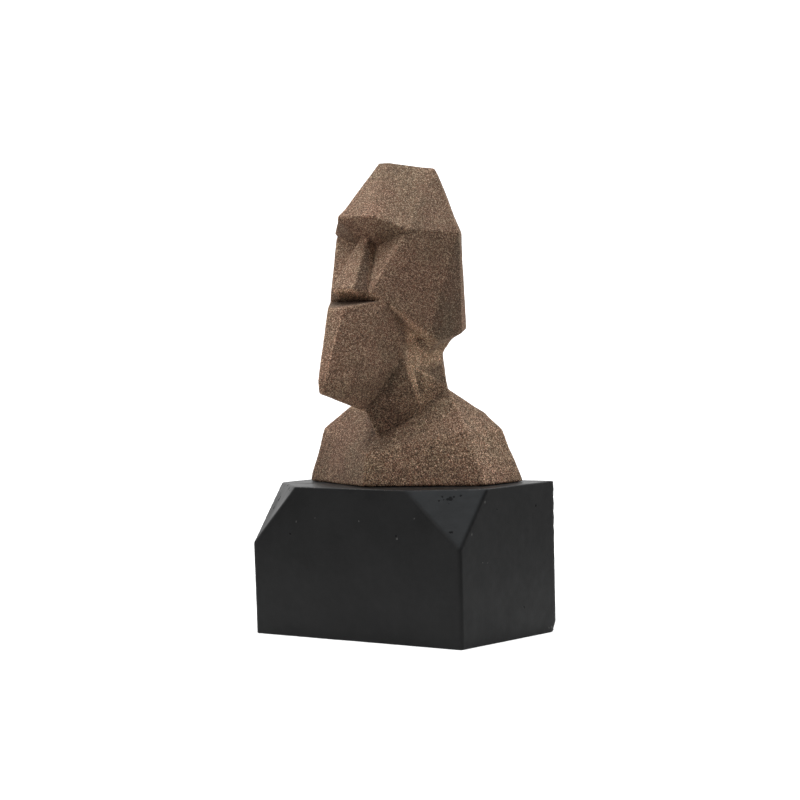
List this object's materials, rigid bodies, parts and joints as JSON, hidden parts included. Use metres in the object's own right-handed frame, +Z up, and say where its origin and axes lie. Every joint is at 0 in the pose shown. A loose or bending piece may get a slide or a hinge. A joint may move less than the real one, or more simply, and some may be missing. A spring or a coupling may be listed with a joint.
{
  "type": "stone head bust",
  "caption": "Faceted stone-head bust with a heavy brow, long nose and jutting chin, resting on a black block plinth with cut front corners.",
  "frame": {"origin": "middle of the plinth's underside, on the surface that it stands on", "axes": "+Z up, the figure faces -Y, +X towards the figure's left"},
  "size_m": [0.1412, 0.1037, 0.2498],
  "materials": {
    "sandstone": "matte, gritty sandstone-filled casting resin",
    "black_resin": "matte to satin black casting resin with small pores"
  },
  "bodies": {
    "root": {"bust": "sandstone", "plinth": "black_resin"}
  },
  "joints": []
}
